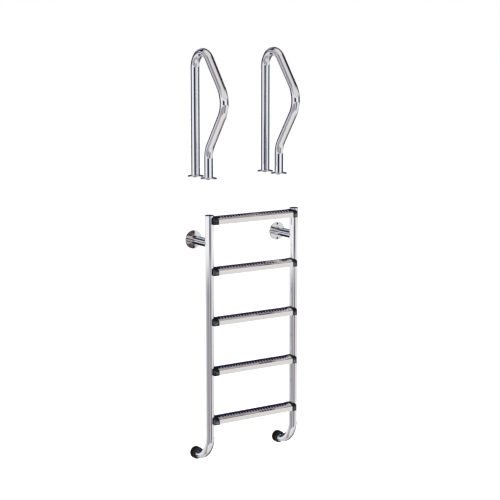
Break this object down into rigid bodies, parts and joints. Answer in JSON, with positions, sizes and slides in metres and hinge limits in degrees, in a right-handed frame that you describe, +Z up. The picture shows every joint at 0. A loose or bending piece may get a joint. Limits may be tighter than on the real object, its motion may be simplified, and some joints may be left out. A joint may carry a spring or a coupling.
{
  "type": "split boarding ladder",
  "caption": "Stainless split ladder: wall-hung tube ladder with crowned anti-slip treads and rubber feet, and two bent handrails for the deck.",
  "frame": {"origin": "on the wall plane, midway between the two wall flanges, at the centre of their four bolt holes", "axes": "+X along the treads to the climber's right, +Y into the wall, +Z up the stringers"},
  "size_m": [0.592, 0.3257, 2.054],
  "materials": {
    "polished_tube": "mirror polished stainless steel tube",
    "polished_plate": "polished stainless steel plate",
    "tread_steel": "polished stainless sheet with anti-slip ribs pressed in its top",
    "fastener_steel": "plain stainless fasteners",
    "dark_plastic": "black moulded plastic",
    "black_rubber": "moulded black rubber"
  },
  "bodies": {
    "root": {"left_stringer": "polished_tube", "left_stringer_plug": "dark_plastic", "left_bumper": "black_rubber", "left_bracket_arm": "polished_tube", "left_wall_flange": "polished_plate", "left_handrail": "polished_tube", "left_front_base_plate": "polished_plate", "left_rear_base_plate": "polished_plate", "right_stringer": "polished_tube", "right_stringer_plug": "dark_plastic", "right_bumper": "black_rubber", "right_bracket_arm": "polished_tube", "right_wall_flange": "polished_plate", "right_handrail": "polished_tube", "right_front_base_plate": "polished_plate", "right_rear_base_plate": "polished_plate", "tread_1": "tread_steel", "tread_1_left_cap": "dark_plastic", "tread_1_right_cap": "dark_plastic", "tread_2": "tread_steel", "tread_2_left_cap": "dark_plastic", "tread_2_right_cap": "dark_plastic", "tread_3": "tread_steel", "tread_3_left_cap": "dark_plastic", "tread_3_right_cap": "dark_plastic", "tread_4": "tread_steel", "tread_4_left_cap": "dark_plastic", "tread_4_right_cap": "dark_plastic", "tread_5": "tread_steel", "tread_5_left_cap": "dark_plastic", "tread_5_right_cap": "dark_plastic", "tread_screws": "fastener_steel", "tread_washers": "fastener_steel", "tread_inserts": "fastener_steel"}
  },
  "joints": []
}
